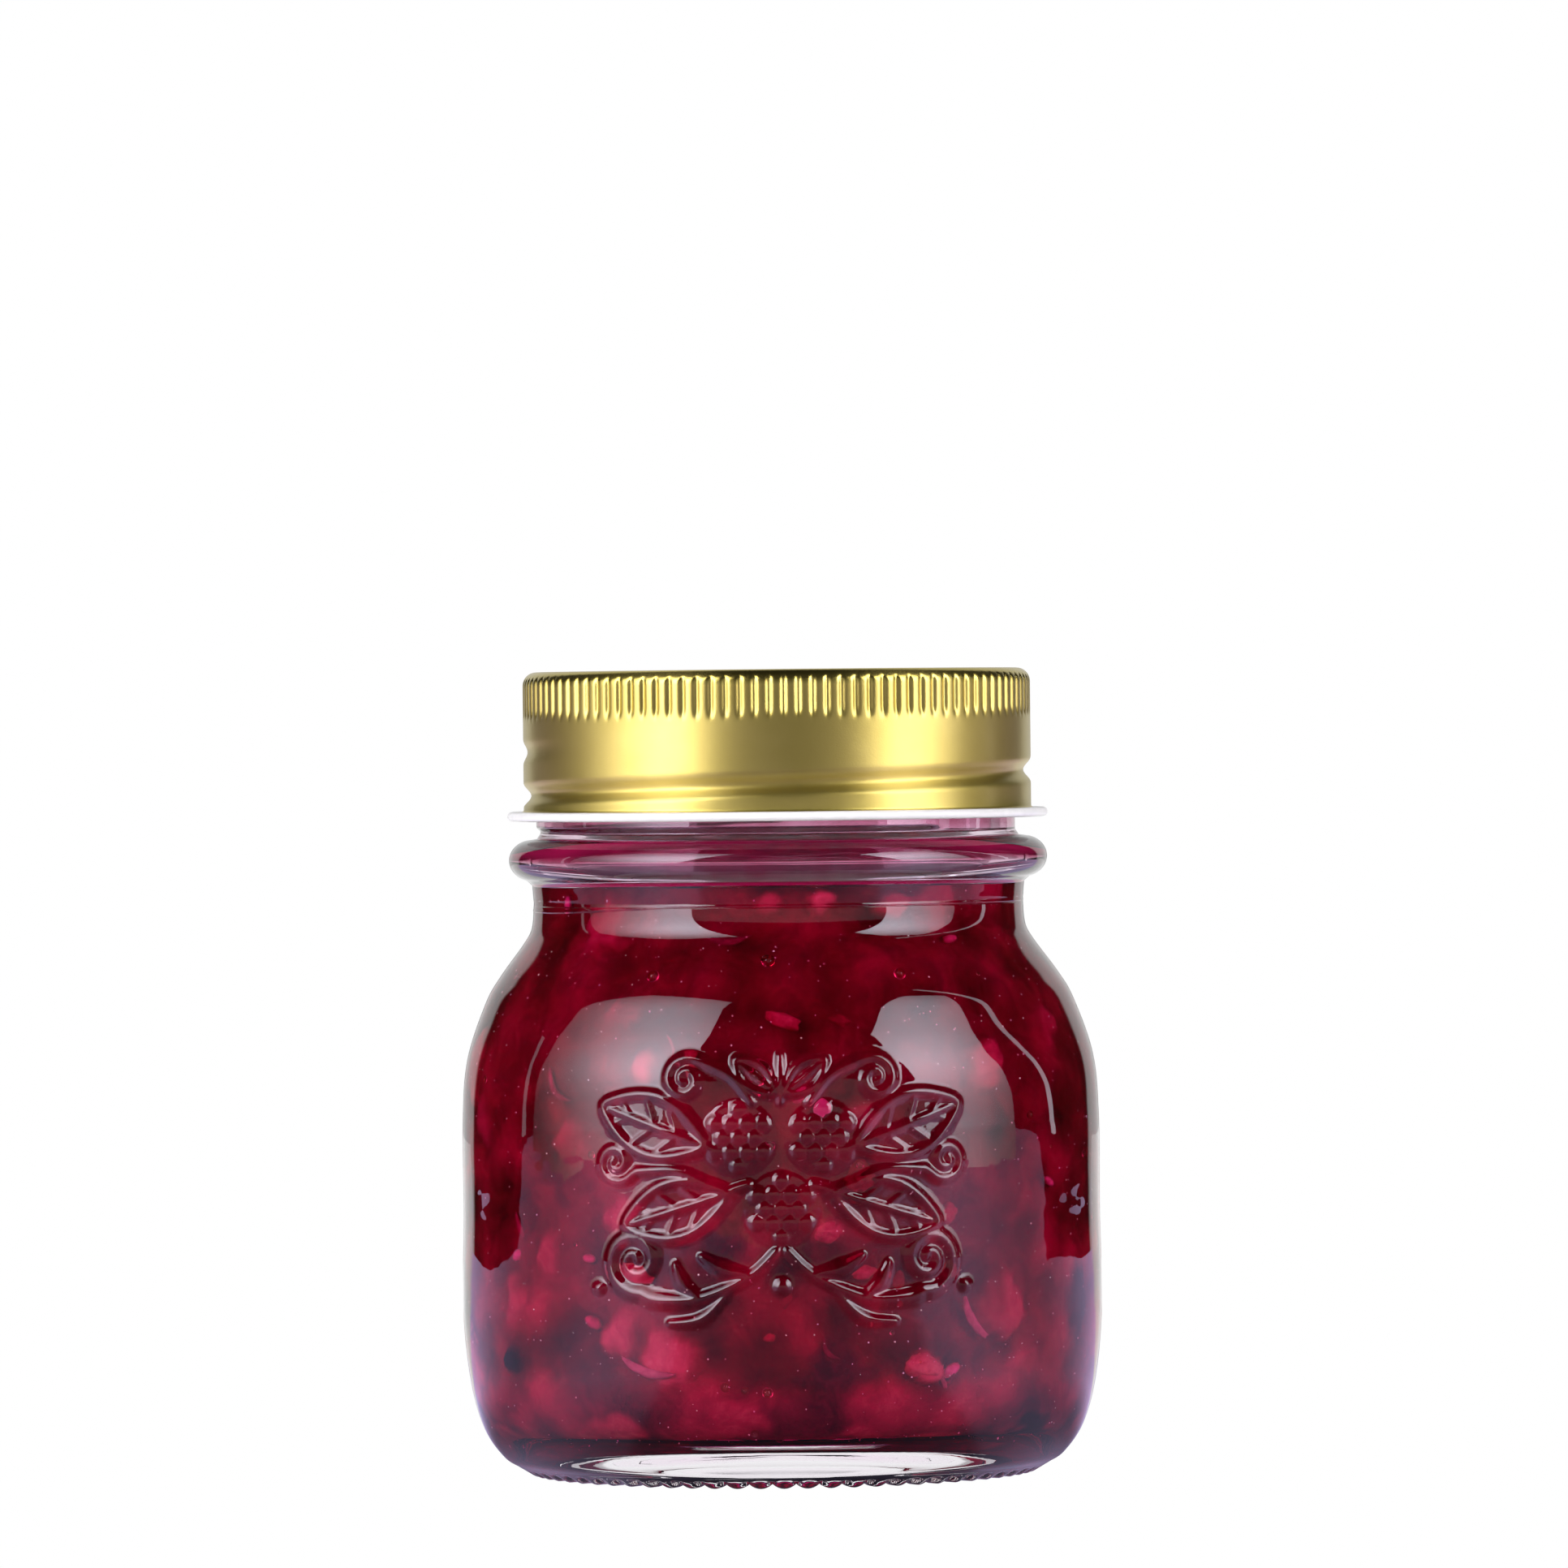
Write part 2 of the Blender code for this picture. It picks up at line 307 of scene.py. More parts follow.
def cord(u, v, path, half_widths, height):
    """The height of a rounded cord that runs along a path and spreads at its foot; its width may change from
    point to point."""
    path = np.asarray(path, float)
    places = [np.linspace(0, 1, len(points)) for points in (path, half_widths)]
    half_widths = CORD_SWELL * np.interp(*places, half_widths)
    best = np.zeros_like(u)
    for a, b, wide_a, wide_b in zip(path, path[1:], half_widths, half_widths[1:]):
        run = b - a
        share = np.clip(((u - a[0]) * run[0] + (v - a[1]) * run[1]) / max(run @ run, 1e-9), 0, 1)
        off = np.hypot(u - a[0] - share * run[0], v - a[1] - share * run[1])
        across = np.clip(off / (wide_a + share * (wide_b - wide_a)), 0, 1)
        best = np.maximum(best, (1 - across**2) ** 1.5)
    return height * best


def curl(centre, radius, start, turns, ending=0.35):
    """A spiral from its outside inwards; start is in degrees and turns is negative for clockwise."""
    share = np.linspace(0, 1, 44)
    turn = math.radians(start) + share * turns * math.tau
    reach = radius + (ending - radius) * share**0.85
    return np.column_stack([centre[0] + reach * np.cos(turn), centre[1] + reach * np.sin(turn)])


def berry_height(u, v, middle):
    """A round berry of small beads, as a relief."""
    off = np.hypot(u - middle[0], v - middle[1]) / BERRY_SIZE
    dome = np.sqrt(np.clip(1 - off**2, 0, 1))
    pitch, bead_size = 1.66, 0.88
    row_height = pitch * math.sqrt(3) / 2
    beads = np.zeros_like(u)
    for row in range(-3, 4):
        shift = pitch / 2 if row % 2 else 0.0
        for column in range(-3, 4):
            at = (middle[0] + column * pitch + shift, middle[1] + row * row_height)
            if math.hypot(at[0] - middle[0], at[1] - middle[1]) > BERRY_SIZE - 0.55:
                continue
            bead = np.clip(1 - (np.hypot(u - at[0], v - at[1]) / bead_size) ** 2, 0, 1)
            beads = np.maximum(beads, np.sqrt(bead))
    return RELIEF * (0.42 * dome**0.7 + 0.58 * beads * fade(dome, 0.0, 0.45))


def leaf_height(u, v, leaf):
    """A pointed leaf: a low field with a raised edge, midrib and veins."""
    across, up, half_length, half_width, tilt = leaf
    turn = math.radians(tilt)
    along = (u - across) * math.cos(turn) + (v - up) * math.sin(turn)
    aside = -(u - across) * math.sin(turn) + (v - up) * math.cos(turn)
    reach = np.linspace(-1, 1, 41)
    width = half_width * np.sqrt(1 - reach**2) * (1 - 0.5 * reach**2)
    upper = np.column_stack([reach * half_length, width])
    lower = upper * (1, -1)
    inside = np.abs(aside) < np.interp(along / half_length, reach, width, left=0, right=0)
    small = half_length < 4
    edge = 0.4 if small else 0.55
    rib = [(-half_length * 1.1, 0.0), (half_length * 0.86, 0.0)]
    ridges = [(upper, [edge], 1.0), (lower, [edge], 1.0), (rib, [edge, 0.34], 0.9)]
    for start in () if small else (-0.5, -0.05, 0.4):
        tip = start + 0.32
        room = np.interp(tip, reach, width) - 0.35
        for side in (-1, 1):
            vein = [(start * half_length, 0.0), (tip * half_length, side * room)]
            ridges.append((vein, [0.34, 0.28], 0.55))
    height = np.where(inside, 0.2 * RELIEF, 0)
    for path, widths, share in ridges:
        height = np.maximum(height, cord(along, aside, path, widths, share * RELIEF))
    return height


def ornament(angles, heights):
    """How far the sprig of berries, leaves and scrolls stands out at each angle and height."""
    u = angles * WAIST_RADIUS
    v = heights - ORNAMENT_HEIGHT
    relief = np.zeros_like(u)
    for middle in BERRIES:
        relief = np.maximum(relief, berry_height(u, v, middle))
    half = np.abs(u)  # the leaves and the scrolls are the same on both sides
    for leaf in LEAVES:
        relief = np.maximum(relief, leaf_height(half, v, leaf))
    low_stem = smooth([(0.5, -6.0), (3.2, -8.6), (8.4, -10.9), (13.0, -11.0), (14.7, -10.4)], 8)
    high_stem = smooth([(2.9, 9.0), (5.0, 11.6), (8.0, 13.1)], 8)
    side_stem = smooth([(7.8, 1.0), (11.0, 2.1), (15.0, 2.0)], 8)
    scrolls = [
        (np.vstack([low_stem, curl((15.3, -7.0), 3.45, -100, 1.7)]), [0.4, 0.75, 0.7, 0.45]),
        (np.vstack([high_stem, curl((9.8, 11.3), 2.3, 120, -1.5)]), [0.4, 0.62, 0.42]),
        (np.vstack([side_stem, curl((17.4, 2.9), 2.2, 215, 1.5)]), [0.4, 0.6, 0.42]),
        (smooth([(3.3, 0.6), (4.6, 0.2), (5.6, -0.3)], 6), [0.45, 0.45]),
        (smooth([(0.0, 9.0), (0.0, 11.2), (0.0, 13.6)], 6), [0.3, 0.55, 0.4]),
        (smooth([(3.6, -8.3), (6.0, -7.9), (8.2, -6.6)], 6), [0.35, 0.75, 0.3]),
        (smooth([(8.6, -10.6), (10.2, -9.2), (10.9, -7.4)], 6), [0.35, 0.65, 0.3]),
        (smooth([(5.4, -10.2), (8.2, -12.9), (11.6, -13.3)], 6), [0.35, 0.6, 0.3]),
        ([(0.0, -9.6), (0.0, -9.7)], [0.7, 0.7]),
        ([(19.6, -9.9), (19.7, -9.9)], [0.6, 0.6]),
    ]
    for path, widths in scrolls:
        relief = np.maximum(relief, cord(half, v, path, widths, RELIEF))
    return relief


# ---------------------------------------------------------------- the glass


def glass_rings():
    """Rings from the middle of the underside, up the outside, over the rim and down the inside, with the
    number of the first ring that is smeared with syrup and of the first that jam lies against."""
    plain = round_angles(180, seams=True)
    ribbed = round_angles(BASE_RIBS * 8)
    fine = front_angles(ORNAMENT_ARC, 213, 132)
    inside = round_angles(128)
    underside = smooth([(0.0, 3.6), (9.0, 3.5), (16.0, 3.1), (20.0, 1.5), (22.4, 0.95)], 4)
    rings = [pole(underside[0][1]), *lay(round_angles(96), underside[1:])]

    ribs = 0.5 + 0.5 * np.cos(BASE_RIBS * ribbed)
    foot = smooth([(22.9, 0.7), (24.0, 0.28), (24.7, 0.0), (25.9, 0.0), (26.8, 0.46), (27.6, 0.95)], 4)
    for radius, height in foot:
        lift = BASE_RIB_HEIGHT * fade(radius, 23.1, 24.3) * (1 - fade(radius, 26.6, 27.5))
        rings.append(ring(ribbed, radius, max(height, 0.0) + lift * (1 - ribs**0.4)))

    levels = outer_wall(7)[8:, 1]
    parting_levels = np.arange(58.0, 59.7, 0.09)
    levels = np.sort(np.concatenate([levels, parting_levels]))
    for height in levels[levels < ORNAMENT_LOW - 0.3]:
        rings.append(ring(plain, np.minimum(wall_radius(plain, height), BODY_RADIUS), height))
    front_limit = -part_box("glass_jar")[0].y / MM
    near = np.abs(fine) < ORNAMENT_ARC
    for height in np.arange(ORNAMENT_LOW, ORNAMENT_HIGH, 0.224):
        shape = np.minimum(wall_radius(fine, height), BODY_RADIUS)
        shape[near] += ornament(fine[near], np.full(near.sum(), height))
        rings.append(ring(fine, np.minimum(shape, front_limit), height))
    for height in levels[levels > ORNAMENT_HIGH + 0.3]:
        rings.append(ring(plain, wall_radius(plain, height), height))
    bead_radii = (BEAD_RADIUS - NECK_RADIUS, BEAD_HALF_HEIGHT)
    for radius, height in arc((NECK_RADIUS, BEAD_HEIGHT), bead_radii, -75, 75, 22):
        rings.append(ring(plain, wavy(plain, radius, height, 0.4), height))
    for height in (65.84, *np.arange(66.0, 69.6, 0.12)):
        radius = FINISH_RADIUS + 0.35 * (1 - fade(height, 65.8, 66.5))
        rings.append(ring(plain, radius + glass_thread(plain, height), height))
    rounding = (LIP_ROUNDING, LIP_ROUNDING)
    lip_low = RIM_HEIGHT - LIP_ROUNDING
    rings += lay(plain, arc((FINISH_RADIUS - LIP_ROUNDING, lip_low), rounding, 0, 90, 5))
    rings += lay(plain, arc((MOUTH_RADIUS + LIP_ROUNDING, lip_low), rounding, 90, 180, 5))
    first_smeared = len(rings)
    for height in (76.0, 70.0, 65.0):
        rings.append(ring(inside, MOUTH_RADIUS + 0.03 * ripple(inside, height), height))
    first_wetted = len(rings)
    wall = inner_wall()
    rings += [*lay(inside, wall[:-1]), pole(wall[-1][1])]
    return rings, first_smeared, first_wetted


def glass_thread(angles, height):
    """The low ridge of the glass thread, whose end runs out below the lid, at the right of the front."""
    turn = np.degrees(angles)
    held = 1 - fade(turn, 36.0, 42.0)
    lower_edge = GLASS_THREAD_HEIGHT + 0.45 * fade(np.abs(turn - 42.0), 95.0, 260.0)
    low, high = fade(height, lower_edge - 0.25, lower_edge + 0.3), fade(height, 68.0, 69.0)
    return GLASS_THREAD_DEPTH * held * low * (1 - high)


# ---------------------------------------------------------------- the lid


def thread_dip(angles, height):
    """The depth of the rolled thread round the skirt at a height: a right-hand helix."""
    turn = np.degrees(angles) - 90.0
    deepest = np.zeros_like(turn)
    for lap in range(-1, 3):
        along = turn + 360.0 * lap
        centre = THREAD_LEFT_HEIGHT + THREAD_PITCH * (along - 180.0) / 360.0
        off = np.clip(np.abs(height - centre) / THREAD_HALF_WIDTH, 0, 1)
        held = fade(np.minimum(along - THREAD_START, THREAD_END - along), 0.0, THREAD_FADE)
        deepest = np.maximum(deepest, held * 0.5 * (1 + np.cos(math.pi * off)))
    return THREAD_DEPTH * deepest


def lid_rings():
    """Rings from the middle of the inside, down to the hem and round it, up the skirt and in over the top,
    with the number of bands that are white, which end on top of the hem."""
    coarse = round_angles(240)
    knurled = round_angles(GROOVES * 14)
    top = TOTAL_HEIGHT
    sunk = top - PANEL_DROP
    panel = [(4.0, sunk), (12.0, sunk), (PANEL_RADIUS - 0.6, sunk), (PANEL_RADIUS, sunk + 0.08)]
    panel += [(PANEL_RADIUS + 0.5, top - PANEL_DROP / 2), (PANEL_RADIUS + 1.0, top - 0.06)]
    panel += [(PANEL_RADIUS + 1.7, top), (23.6, top)]
    corner = arc((LID_RADIUS - LID_CORNER, top - LID_CORNER), (LID_CORNER, LID_CORNER), 90, 0, 8)
    rings = [pole(sunk), *lay(coarse, panel), *lay(coarse, corner[:4])]
    phase = (knurled * GROOVES / math.tau) % 1.0
    groove = np.exp(-(((phase - 0.5) / 0.19) ** 2))
    edge = [(radius, height) for radius, height in corner[4:]]
    edge += [(LID_RADIUS, height) for height in np.linspace(top - LID_CORNER - 0.3, KNURL_LOW - 0.5, 12)]
    for radius, height in edge:
        depth = GROOVE_DEPTH * fade(height, KNURL_LOW - 0.3, KNURL_LOW + 0.9)
        depth *= 1 - fade(height, KNURL_TOP, KNURL_TOP + 0.9)
        rings.append(ring(knurled, radius - depth * groove, height))
    hem_top = HEM_LOW + HEM_THICKNESS
    for height in np.linspace(KNURL_LOW - 0.8, hem_top + 0.35, 34):
        shape = LID_RADIUS - thread_dip(coarse, height) * fade(height, hem_top + 0.3, hem_top + 1.0)
        rings.append(ring(coarse, shape, height))
    fillet = smooth([(LID_RADIUS, hem_top + 0.2), (26.36, hem_top + 0.06), (26.5, hem_top)], 2)
    rings += lay(coarse, fillet)
    hem_start = len(rings) - 1
    half_hem = HEM_THICKNESS / 2
    rings += lay(coarse, arc((HEM_RADIUS - half_hem, HEM_LOW + half_hem), (half_hem, half_hem), 90, -90, 10))
    inner = [(LID_BORE + 0.3, HEM_LOW), (LID_BORE, HEM_LOW + 0.3), (LID_BORE, RIM_HEIGHT)]
    inner += [(MOUTH_RADIUS, RIM_HEIGHT + 0.3), (PANEL_RADIUS, RIM_HEIGHT - 0.4)]
    rings += [*lay(coarse, inner), pole(sunk - 0.5)]
    rings.reverse()  # they were laid from the top outwards, and the skin has to face out
    return rings, len(rings) - 1 - hem_start


# ---------------------------------------------------------------- the jam


def run_and_inward(line):
    """For each point of the wall's line, the direction of the line and the way from there into the jam."""
    run = np.gradient(line, axis=0)
    run /= np.hypot(*run.T)[:, None]
    return run, np.column_stack([run[:, 1], -run[:, 0]])


# The inside of the glass from the jam's level down and in to the middle of its floor, with those two
# directions for each point and how far along the line it lies
WALL_LINE = inner_wall(16)
WALL_RUN, WALL_INWARD = run_and_inward(WALL_LINE)
WALL_REACH = np.concatenate([[0], np.cumsum(np.hypot(*np.diff(WALL_LINE, axis=0).T))])

# Soft fruit that can be told apart through the front: how far across and up in mm, half length, half
# width, turn in degrees, and its flesh from -1 (dark skin) to 1 (pale)
FRONT_FRUIT = [
    (24.0, 17.7, 4.0, 3.4, 20, 0.55),
    (25.9, 12.1, 2.8, 1.7, 15, 0.5),
    (15.6, 12.6, 2.5, 1.7, -10, 0.8),
    (-12.7, 13.6, 4.8, 3.2, -25, 0.8),
    (-16.9, 16.0, 3.2, 2.8, 10, 0.65),
    (-28.6, 17.7, 3.6, 3.2, 0, 0.55),
    (-25.2, 23.2, 3.0, 1.9, 80, 0.55),
    (-21.7, 6.0, 2.8, 2.0, 30, 0.75),
    (-6.7, 7.0, 5.0, 3.4, 10, 0.45),
    (17.4, 5.0, 3.6, 1.8, 5, 0.5),
    (4.9, 26.7, 2.0, 1.5, 10, 0.85),
    (-17.6, 28.1, 2.8, 2.4, 20, 0.7),
    (25.4, 6.4, 5.0, 4.4, 0, -1.0),
    (-29.2, 13.1, 1.9, 1.5, 0, -1.0),
    (-7.0, 24.4, 6.5, 2.6, 5, -0.6),
    (30.9, 18.5, 3.2, 5.0, 0, -0.6),
    (6.0, 12.0, 4.4, 3.6, 0, -0.4),
    (-1.2, 59.2, 1.9, 1.7, 0, 0.6),
    (6.2, 59.4, 1.9, 1.7, 0, 0.75),
    (16.9, 59.2, 2.2, 1.5, 10, 0.6),
    (-15.0, 42.9, 2.2, 1.8, 30, 0.7),
    (22.6, 42.9, 3.6, 3.0, 60, 0.6),
    (30.0, 46.0, 2.6, 3.8, 0, 0.45),
    (-19.0, 48.2, 3.0, 1.6, 10, 0.45),
    (-22.5, 35.0, 3.4, 2.4, -30, 0.4),
    (9.0, 38.0, 2.6, 2.0, 30, 0.35),
]

# Round bubbles that show on the front: how far across and up, half width, half thickness and depth
FRONT_BUBBLES = [
    (-1.4, 53.2, 0.72, 0.6, 0.1),
    (-15.8, 51.6, 0.62, 0.5, 0.1),
    (-2.5, 41.7, 0.95, 0.8, 0.1),
    (15.1, 51.2, 0.6, 0.5, 0.1),
    (-6.2, 10.8, 0.5, 0.5, 0.05),
    (-4.1, 10.3, 0.4, 0.4, 0.05),
    (-1.7, 10.1, 0.55, 0.5, 0.05),
    (26.4, 37.4, 0.4, 0.4, 0.05),
]

# Fruit with dark skin sinks, so above this height there is none
DARK_FRUIT_TOP = 30
SEEN_RADIUS = 32.3


def wall_step(height):
    """The place on the wall's line that is nearest to a height."""
    return int(np.argmin(np.abs(WALL_LINE[:, 1] - height)))


def front_angle(across):
    """Where on the inside a thing lies that shows so far across from the jar's middle. The glass is a lens,
    so the jam seems to reach nearly to its outside."""
    return math.asin(across / SEEN_RADIUS)


def wall_frame(step, angle):
    """A point on the inside of the glass, the way into the jam, the way round and the way up."""
    radius, height = WALL_LINE[step]
    out = np.array([math.sin(angle), -math.cos(angle), 0.0])
    around = np.array([math.cos(angle), math.sin(angle), 0.0])
    up = np.array([0.0, 0.0, 1.0])
    inward = out * WALL_INWARD[step, 0] + up * WALL_INWARD[step, 1]
    along = -(out * WALL_RUN[step, 0] + up * WALL_RUN[step, 1])
    return out * radius + up * height, inward, around, along


def random_steps(count, lower_share=0.0):
    """Random places on the wall's line, even over its area, or gathered towards the bottom."""
    weight = WALL_LINE[:, 0] * np.gradient(WALL_REACH)
    weight = weight * (1 + lower_share * fade(-WALL_LINE[:, 1], -44, -22))
    return RNG.choice(len(WALL_LINE), size=count, p=weight / weight.sum())


def unit_ball(subdivisions):
    build = bmesh.new()
    bmesh.ops.create_icosphere(build, subdivisions=subdivisions, radius=1.0)
    points = np.array([vertex.co[:] for vertex in build.verts])
    faces = np.array([[vertex.index for vertex in face.verts] for face in build.faces])
    build.free()
    return points, faces


def rough_ball(points, seed, coarse, fine):
    """A ball's points moved in and out by soft noise, at two scales."""
    shift = Vector((seed * 7.31, seed * 3.17, seed * 5.77))
    moved = []
    for point in points:
        here = Vector(point)
        swell = 1 + coarse * noise.noise(here * 1.25 + shift) * 2
        swell += fine * noise.noise(here * 4.0 + shift) * 2
        moved.append(here * swell)
    return np.array([m[:] for m in moved])


def pieces(count, length, slimness, thickness, depth, lower_share=0.0):
    """Random pieces all round the jar; each pair of numbers is the least and the most."""
    found = []
    for step in random_steps(count, lower_share):
        long = RNG.uniform(*length)
        wide = long * RNG.uniform(*slimness)
        turn = RNG.uniform(0, math.pi)
        angle = RNG.uniform(-math.pi, math.pi)
        found.append((step, angle, long, wide, wide * thickness, turn, RNG.uniform(*depth)))
    return found


def front(across, up, length, width, thick, turn, depth):
    """A piece that shows so far across and up on the front of the jar."""
    return (wall_step(up), front_angle(across), length, width, thick, math.radians(turn), depth)


def scatter(name, found, material, detail, rough=(0.0, 0.0), bend=0.0):
    """One mesh of many rounded pieces just inside the glass. Each piece is a place on the wall's line, an
    angle round the jar, its half length, half width and half thickness, its turn and its depth, in mm."""
    points, faces = unit_ball(detail)
    all_points, all_faces = [], []
    for k, (step, angle, length, width, thick, turn, depth) in enumerate(found):
        at, inward, around, along = wall_frame(step, angle)
        first = around * math.cos(turn) + along * math.sin(turn)
        second = along * math.cos(turn) - around * math.sin(turn)
        shape = rough_ball(points, k + 1, *rough) if any(rough) else points
        local = shape * (length, width, thick)
        local[:, 1] += bend * (shape[:, 0] ** 2 - 0.4) * length * RNG.uniform(-1, 1)
        centre = at + inward * (depth - local[:, 2].min())
        all_faces.append(faces + len(points) * k)
        all_points.append(centre + local @ np.array([first, second, inward]))
    mesh = bpy.data.meshes.new(name)
    mesh.from_pydata((np.vstack(all_points) * MM).tolist(), [], np.vstack(all_faces).tolist())
    mesh.shade_smooth()
    return place(name, mesh, [material])


def gel_rings():
    """Rings of the clear part of the jam, which reaches just into the wall of the glass, with the number of
    the first ring of its open top."""
    angles = round_angles(128)
    wall = inner_wall()
    line = wall - JAM_INTO_WALL * run_and_inward(wall)[1]
    rings = [pole(line[-1][1]), *lay(angles, line[-2:0:-1])]
    first_open = len(rings)
    for radius in (line[0][0], *np.arange(22.0, 1.0, -0.7)):
        creep = (JAM_CREEP + 0.3) * (1 - fade(line[0][0] - radius, 0.0, 1.8))
        heights = [
            creep - 0.3 + 0.6 * noise.noise(Vector((math.sin(a) * radius, math.cos(a) * radius, 3.0)) / 4.2)
            for a in angles
        ]
        rings.append(ring(angles, radius, JAM_LEVEL + np.minimum(heights, JAM_CREEP)))
    rings.append(pole(JAM_LEVEL - 0.4))
    return rings, first_open


def soft_fruit():
    """The soft fruit all round the jar, as places on the wall with a size, a turn and a flesh value."""
    found = []
    for across, up, length, width, turn, flesh in FRONT_FRUIT:
        found.append((wall_step(up), front_angle(across), length, width, math.radians(turn), flesh))
    for step in random_steps(210, 1.6):
        angle = RNG.uniform(-math.pi, math.pi)
        length = RNG.uniform(1.4, 4.8)
        width = length * RNG.uniform(0.45, 0.95)
        flesh = RNG.choice([-0.9, 0.35, 0.5, 0.75], p=[0.12, 0.34, 0.34, 0.2])
        if flesh < 0 and WALL_LINE[step, 1] > DARK_FRUIT_TOP:
            flesh = 0.3
        placed = found[: len(FRONT_FRUIT)]
        if not any(abs(item[1] - angle) < 0.22 and abs(item[0] - step) < 18 for item in placed):
            found.append((step, angle, length, width, RNG.uniform(0, math.pi), flesh))
    return found


def pulp_skin(material):
    """The pulp inside the clear syrup: far from the glass where there is only syrup, close to it where there
    is fruit. Each point carries its flesh value, which the material reads."""
    angles = round_angles(400)
    steps = np.arange(1, len(WALL_LINE) - 8)  # the pulp's underside is closed near the middle of the floor
    angle, step = np.meshgrid(angles, steps)
    line, inward, reach = WALL_LINE[step], WALL_INWARD[step], WALL_REACH[step]
    out = np.stack([np.sin(angle), -np.cos(angle)], axis=-1)
    coarse, fine = np.empty(angle.shape), np.empty(angle.shape)
    for at in np.ndindex(angle.shape):
        here = Vector((out[at][0] * line[at][0], out[at][1] * line[at][0], line[at][1]))
        coarse[at] = noise.noise(here / 5.0)
        fine[at] = noise.noise(here / 1.9 + Vector((9, 4, 2)))
    lower = fade(-line[..., 1], -46, -24)
    depth = 2.2 - 0.3 * lower - 0.8 * coarse + 0.25 * fine
    depth = depth - (depth - 0.7) * fade(-line[..., 1], -12.0, -8.0)
    flesh = (0.35 + 0.4 * lower) * coarse + 0.12 * fine
    for at_step, at_angle, length, width, turn, value in soft_fruit():
        across = ((angle - at_angle + math.pi) % math.tau - math.pi) * line[..., 0]
        up = WALL_REACH[at_step] - reach
        long_way = (across * math.cos(turn) + up * math.sin(turn)) / length
        short_way = (up * math.cos(turn) - across * math.sin(turn)) / width
        bump = np.clip(1.1 - long_way**2 - short_way**2 - 0.7 * fine - 0.6 * coarse, 0, 1)
        near = 0.8 if abs(value) > 0.6 else 1.1
        share = fade(bump, 0.0, 1.0)
        depth = depth + (np.minimum(near, depth) - depth) * share
        flesh = flesh * (1 - share) + value * share
    depth = np.clip(depth, 0.35, 4.6)
    radius = line[..., 0] + inward[..., 0] * depth
    height = np.minimum(line[..., 1] + inward[..., 1] * depth, JAM_LEVEL - 0.35)
    rings = [pole(float(height[-1, 0]))]
    rings += [ring(angles, radius[k], height[k]) for k in range(len(steps) - 1, -1, -1)]
    top_flesh = []
    for reach in np.arange(19.0, 1.0, -0.9):
        lumps = [noise.noise(Vector((math.sin(a) * reach, math.cos(a) * reach, 8.0)) / 2.6) for a in angles]
        rings.append(ring(angles, reach, JAM_LEVEL - 1.0 + 0.7 * np.array(lumps)))
        top_flesh.append(0.35 + 1.2 * np.array(lumps))
    rings.append(pole(JAM_LEVEL - 1.0))
    pulp = skin("cooked_berry_pulp", rings, [material])
    values = np.concatenate([[0], flesh[::-1].ravel(), np.ravel(top_flesh), [0]])
    pulp.data.attributes.new("flesh", "FLOAT", "POINT").data.foreach_set("value", values)


# ---------------------------------------------------------------- materials

GLASS_IOR = 1.52
JAM_IOR = 1.41

# How the syrup swallows light: red passes furthest, blue less far and green hardly at all
SYRUP = {"Color": "#f100d4", "Density": 1150.0}

SOFT = {"interpolation_type": "SMOOTHSTEP"}


def paint(code):
    """An sRGB hex colour as linear light."""
    parts = [int(code[k : k + 2], 16) / 255 for k in (1, 3, 5)]
    linear = [p / 12.92 if p <= 0.04045 else ((p + 0.055) / 1.055) ** 2.4 for p in parts]
    return (*linear, 1.0)


def new_material(name):
    material = bpy.data.materials.new(name)
    material.use_nodes = True
    material.node_tree.nodes.clear()
    return material, material.node_tree


def add(tree, kind, inputs=(), stops=(), **settings):
    """Adds a node. Its inputs go by name, or stand in a list in the node's own order. Each is a number, a hex
    colour, a socket, or a node that stands for its first output. Stops are a ramp's places and colours."""
    made = tree.nodes.new("ShaderNode" + kind)
    for name, value in settings.items():
        setattr(made, name, value)
    if stops:
        elements = made.color_ramp.elements
        while len(elements) < len(stops):
            elements.new(0.5)
        for element, (position, code) in zip(elements, stops):
            element.position = position
            element.color = paint(code)
    for name, value in inputs.items() if isinstance(inputs, dict) else enumerate(inputs):
        if isinstance(value, str):
            value = paint(value)
        elif isinstance(value, bpy.types.Node):
            value = value.outputs[0]
        if isinstance(value, bpy.types.NodeSocket):
            tree.links.new(value, made.inputs[name])
        else:
            made.inputs[name].default_value = value
    return made


def let_lamps_through(tree, shader, clear="#ffffff"):
    """Clear to the rays that look for lamps and to soft light, so that what is inside is lit as through real
    glass."""
    path = add(tree, "LightPath").outputs
    soft = add(tree, "Math", [path["Is Shadow Ray"], path["Is Diffuse Ray"]], operation="MAXIMUM")
    return add(tree, "MixShader", [soft, shader, add(tree, "BsdfTransparent", {"Color": clear})])


def moulded_glass():
    """Soda-lime glass blown in an iron mould and fire polished: clear and bright, with slow waves about 7 mm
    long that bend reflections a little."""
    material, tree = new_material("moulded_clear_glass")
    where = add(tree, "TexCoord").outputs["Object"]
    waves = add(
        tree, "TexNoise", {"Vector": where, "Scale": 1 / (7.143 * MM), "Detail": 2.0, "Roughness": 0.4}
    )
    bump = add(tree, "Bump", {"Height": waves, "Strength": 0.06, "Distance": 0.6 * MM})
    clear = {"Base Color": "#fafcfc", "Roughness": 0.0, "IOR": GLASS_IOR, "Transmission Weight": 1.0}
    shader = add(tree, "BsdfPrincipled", {**clear, "Normal": bump})
    add(tree, "OutputMaterial", {"Surface": let_lamps_through(tree, shader, "#f6f8f8")})
    return material


